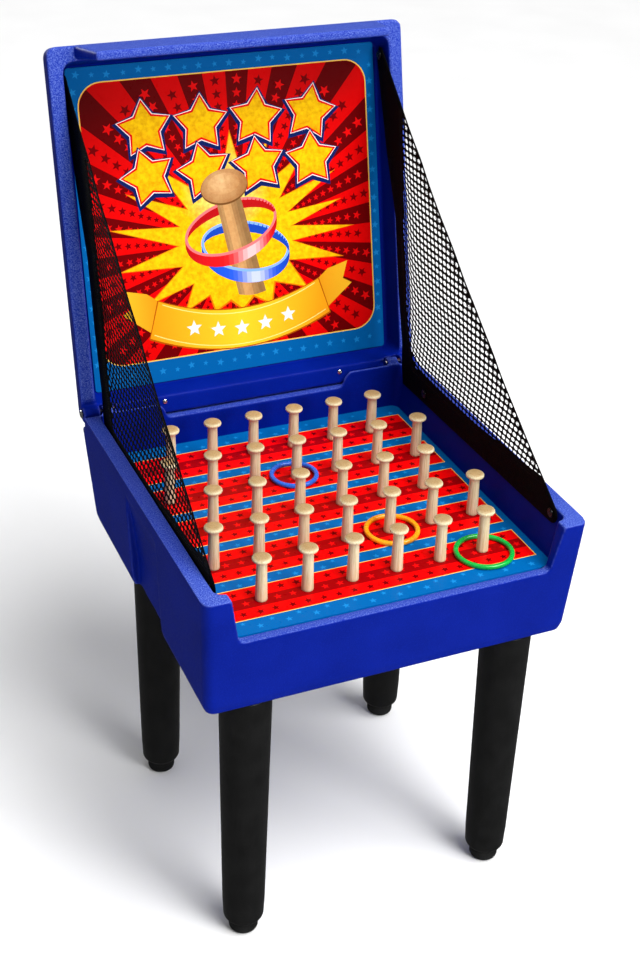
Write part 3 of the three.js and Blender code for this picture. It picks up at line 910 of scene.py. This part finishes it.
def edge_gaps(p, drop=0.0):
    """Distances of a point inward from the net's free edge, its rear binding and its lower binding."""
    p = Vector(p)
    chord = Vector(NET_NOSE) - Vector(NET_TOP)
    t = min(1, max(0, (p - Vector(NET_TOP)).dot(chord) / chord.length_squared))
    base = Vector(NET_TOP) + chord * t + Vector((NET_SAG / 2, -NET_SAG)) * (2 * t * (1 - t))
    normal = Vector((-chord.y, chord.x)).normalized()
    return (p - base).dot(normal), REAR_SQUARE * (mesh_rear(p.y) - p.x), p.y - mesh_low(p.x, drop)


def clip(polygon, edge, limit, drop):
    """The part of a polygon that is further than a limit inside one edge of the netting."""
    out = []
    gaps = [edge_gaps(p, drop)[edge] - limit for p in polygon]
    for i, (p, gap) in enumerate(zip(polygon, gaps)):
        q, other = polygon[i - 1], gaps[i - 1]
        if (gap > 0) != (other > 0):
            t = other / (other - gap)
            out.append((q[0] + (p[0] - q[0]) * t, q[1] + (p[1] - q[1]) * t))
        if gap > 0:
            out.append(p)
    return out


def within(p, polygon):
    """Whether a point lies inside a polygon."""
    crossings = 0
    for a, b in zip(polygon, [*polygon[1:], polygon[0]]):
        if (a[1] > p[1]) != (b[1] > p[1]) and p[0] < a[0] + (b[0] - a[0]) * (p[1] - a[1]) / (b[1] - a[1]):
            crossings += 1
    return crossings % 2 == 1


def window(grow, drop):
    """The netting's opening inside its bindings, grown by a distance."""
    front = []
    for p in free_edge(150):
        q = Vector(p) + FREE_EDGE_INWARD * (BIND_FRONT - grow)
        gaps = edge_gaps(q, drop)
        if gaps[1] > -grow and gaps[2] > -grow:
            front.append(tuple(q))
    nose = (front[-1][0], mesh_low(front[-1][0], drop) - grow)
    foot = mesh_low(NET_REST[0][0], drop) - grow
    corner = (mesh_rear(foot) + grow / REAR_SQUARE, foot)
    low = [(y, mesh_low(y, drop) - grow) for y, _ in along(nose, corner, 12)]
    rear = [(mesh_rear(z) + grow / REAR_SQUARE, z) for _, z in along(corner, (corner[0], front[0][1]), 12)]
    return front[::3] + low + rear


def warp(y, z):
    """Where a point of the knit's even grid lies once it hangs."""
    y += LEAN * math.hypot(z - LEAN_HEIGHT, LEAN_SOFT)
    gap = max(0.0, mesh_rear(z) - y)
    return y, z + LIFT * math.exp(-gap / LIFT_REACH) * max(0.0, 1 - ((z - LIFT_HEIGHT) / LIFT_SPAN) ** 2)


def drape(y, z):
    """How far the net billows inward from its plane, in millimetres."""
    front, rear, low = edge_gaps((y, z))
    belly = 1.0
    for gap, reach in ((front + 4, 55), (rear + 20, 45), (low + 2, 50)):
        belly *= 1 - math.exp(-max(0.0, gap) / reach)
    ripple = noise.noise(Vector((y * 0.012, z * 0.012, 3.1)))
    free = min(1.0, max(0.0, (z - 110) / 120)) * min(1.0, max(0.0, rear / 60))
    return 13 * belly + 2.2 * ripple * free


def add_stitch(a, u, v, s, sign, face, verts, faces):
    """One thread of the stitching on a face of the net, from s along u past a, with v across it."""
    base = len(verts)
    for t, wide, high in STITCH:
        for across, crown in ((1, 0.0), (0, 1.0), (-1, 0.0)):
            p = Vector(a) + u * (s + t) + v * (across * wide)
            x = NET_X - drape(*p) - face * (0.66 + 0.2 * crown + high * crown)
            verts.append(board_place(sign * x, *p))
    for k in range(base, base + 9, 3):
        for m in range(3):
            n = (m + 1) % 3
            faces.append((k + m, k + n, k + 3 + n, k + 3 + m))
    faces += [(base, base + 1, base + 2), (base + 9, base + 10, base + 11)]


def side_net(side, sign, drop):
    """A net of oval holes inside stitched bindings. Its lower binding is set down by drop."""
    outer = free_edge(60)[:-1] + NOSE[:-1]
    outer += sum((along(a, b, 14) for a, b in zip([NOSE[-1], *NET_REST], [*NET_REST, NET_TOP])), [])
    inner, step = window(0, drop), window(-1.4, drop)
    ovals, knots = [], []
    for i in range(-30, 50):
        for j in range(-6, 56):
            y, z = i * HOLE_PITCH_Y, j * HOLE_PITCH_Z
            oval = [warp(*p) for p in ellipse(y, z, HOLE_A, HOLE_B, 0, HOLE_SIDES)]
            for edge in range(3):
                oval = clip(oval, edge, HOLE_MARGIN, drop)
            if len(oval) > 3 and abs(shoelace(oval)) / 2 > HOLE_SHARE * math.pi * HOLE_A * HOLE_B:
                ovals.append(oval)
                for dy, dz in ((0, 0.5), (0.5, 0.5), (0.5, 0)):
                    knot = warp(y + dy * HOLE_PITCH_Y, z + dz * HOLE_PITCH_Z)
                    if min(edge_gaps(knot, drop)) > KNOT_MARGIN:
                        knots.append(knot)
    rough = window(3, drop)
    fill = [(y, z) for y in range(-50, 660, FILL_STEP) for z in range(55, 630, FILL_STEP)
            if edge_gaps((y, z))[0] > 3 and within((y, z), outer) and not within((y, z), rough)]
    points, cut = partition([outer, inner, step, *ovals], knots + fill)
    kept = [(t, inside) for t, inside in cut if 0 in inside and max(inside) < 3]
    count = len(points)
    front, back, walls = slab([t for t, _ in kept], count)
    in_tape, in_net = np.zeros((2, count), bool)
    for t, inside in kept:
        (in_net if 2 in inside else in_tape)[list(t)] = True
    knot_set = {(round(y, 2), round(z, 2)) for y, z in knots}
    half = [TAPE_HALF if taped and not netted
            else KNOT_HALF if (round(y, 2), round(z, 2)) in knot_set else YARN_HALF
            for (y, z), taped, netted in zip(points, in_tape, in_net)]
    verts = []
    for face in (1, -1):
        for (y, z), h in zip(points, half):
            verts.append(board_place(sign * (NET_X - drape(y, z) - face * h), y, z))
    index = [0 if 2 in inside else 1 for _, inside in kept]
    faces = front + back + walls
    indices = index + index + [1] * len(walls)
    # Rows of stitches follow the binding's inner edge, on both faces.
    for row in STITCH_ROWS:
        line = window(row, drop)
        line.append(line[0])
        spare = 0.0
        for a, b in zip(line, line[1:]):
            length = math.dist(a, b)
            if length < 1e-6:
                continue
            u = Vector((b[0] - a[0], b[1] - a[1])) / length
            v = Vector((-u.y, u.x))
            s = spare
            while s + STITCH_LENGTH < length:
                for face in (1, -1):
                    add_stitch(a, u, v, s, sign, face, verts, faces)
                s += STITCH_PITCH
            spare = max(0.0, s - length)
    indices += [2] * (len(faces) - len(indices))
    mesh = solid_mesh(f"side_net_{side}", verts, faces, True, indices)
    drop_loose(mesh)
    net = new_piece(f"side_net_{side}", mesh, [YARN, TAPE, THREAD], None, "net_fabric", [f"net_{side}"])
    cut_area = abs(shoelace(outer)) / 2 * MM * MM
    board_place(0, 300, HINGE_Z)
    board_place(0, HINGE_Y, 400)
    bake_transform(net)
    # Each vertex's angle round the hinge is worked out, but no blend weight is made from it.
    _, hinge_y, hinge_z = board_place(0, HINGE_Y, HINGE_Z)
    for v in net.data.vertices:
        angle = math.atan2(v.co.z - hinge_z, hinge_y - v.co.y)
        if angle < -math.pi / 2:
            angle += 2 * math.pi


for side, sign, drop in (("left", -1, 20), ("right", 1, 0)):
    side_net(side, sign, drop)

# -------- stage, lights, camera


def stage_floor():
    """A pale studio sweep."""
    s = Surface("studio_floor", Roughness=0.8)
    s.drive("Base Color", s.ramp(s.noise(3, 2), (0.3, (0.9, 0.9, 0.9)), (0.7, (0.93, 0.93, 0.93))))
    s.bump((s.noise(60, 2), 0.0002))
    size, steps = 9.0, 24
    row = steps + 1
    verts = [((i / steps - 0.5) * 2 * size, (j / steps - 0.5) * 2 * size, 0)
             for j in range(row) for i in range(row)]
    faces = [tuple(j * row + i + corner for corner in (0, 1, row + 1, row))
             for j in range(steps) for i in range(steps)]
    mesh = bpy.data.meshes.new("floor")
    mesh.from_pydata(verts, [], faces)
    mesh.materials.append(s.material)
    floor = bpy.data.objects.new("floor", mesh)
    link(floor)
    floor.visible_glossy = False


MIDDLE = (0, 0, 0.75)


def softbox(name, position, size, power, soft=True):
    """A rectangular lamp. A soft one lights the colours only, the others only draw glints."""
    data = bpy.data.lights.new(name, "AREA")
    data.shape, data.size, data.size_y, data.energy = "RECTANGLE", *size, power
    lamp = bpy.data.objects.new(name, data)
    lamp.location = position
    lamp.rotation_euler = (Vector(MIDDLE) - Vector(position)).to_track_quat("-Z", "Y").to_euler()
    lamp.visible_glossy, lamp.visible_diffuse = not soft, soft
    link(lamp)


stage_floor()
world = bpy.data.worlds.new("studio")
bpy.context.scene.world = world
world.use_nodes = True
sky = world.node_tree
background = sky.nodes["Background"]
background.inputs["Color"].default_value = (1, 1, 1, 1)
path = sky.nodes.new("ShaderNodeLightPath")


def by_ray(output, value):
    """A node that gives a value to one kind of ray and its input 2 to the rest."""
    node = sky.nodes.new("ShaderNodeMix")
    sky.links.new(path.outputs[output], node.inputs[0])
    node.inputs[3].default_value = value
    return node


glossy, seen = by_ray("Is Glossy Ray", 0.10), by_ray("Is Camera Ray", 1.0)
glossy.inputs[2].default_value = 0.28
sky.links.new(glossy.outputs[0], seen.inputs[2])
sky.links.new(seen.outputs[0], background.inputs["Strength"])
softbox("key", (1.2, -3.2, 2.1), (1.3, 1.3), 75)
softbox("top", (0.2, -0.2, 3.6), (2.4, 2.4), 45)
softbox("front_glint", (1.16, -1.76, 3.1), (2.4, 0.8), 150, False)
softbox("back_glint", (-1.4, 2.4, 1.8), (1.0, 0.8), 45, False)
sun = bpy.data.lights.new("studio_ceiling", "SUN")
sun.energy, sun.angle = 2.9, math.radians(40)
ceiling = bpy.data.objects.new("studio_ceiling", sun)
ceiling.rotation_euler = Vector((-0.28, 0.5, -1.0)).to_track_quat("-Z", "Y").to_euler()
ceiling.visible_glossy = False
link(ceiling)

AZIMUTH, ELEVATION, ROLL = (math.radians(v) for v in (24.519, 28.511, 1.981))
CAMERA_SPOT = (-940.4, -1845.6, 1390.0)
SENSOR, LENS, SHIFT = 36, 59.76116, (-0.002377, -0.060543)
look = Vector((math.cos(ELEVATION) * math.sin(AZIMUTH), math.cos(ELEVATION) * math.cos(AZIMUTH),
               -math.sin(ELEVATION)))
right = Vector((math.cos(AZIMUTH), -math.sin(AZIMUTH), 0))
up = right.cross(look)
right, up = right * math.cos(ROLL) + up * math.sin(ROLL), up * math.cos(ROLL) - right * math.sin(ROLL)
data = bpy.data.cameras.new("camera")
camera = bpy.data.objects.new("camera", data)
link(camera)
turn = Matrix((right, up, -look)).transposed().to_4x4()
camera.matrix_world = Matrix.Translation(board_place(*CAMERA_SPOT)) @ turn
data.sensor_width, data.lens = SENSOR, LENS
data.shift_x, data.shift_y = SHIFT
data.clip_end = 60
bpy.context.scene.camera = camera
bpy.context.scene.view_settings.view_transform = "Standard"
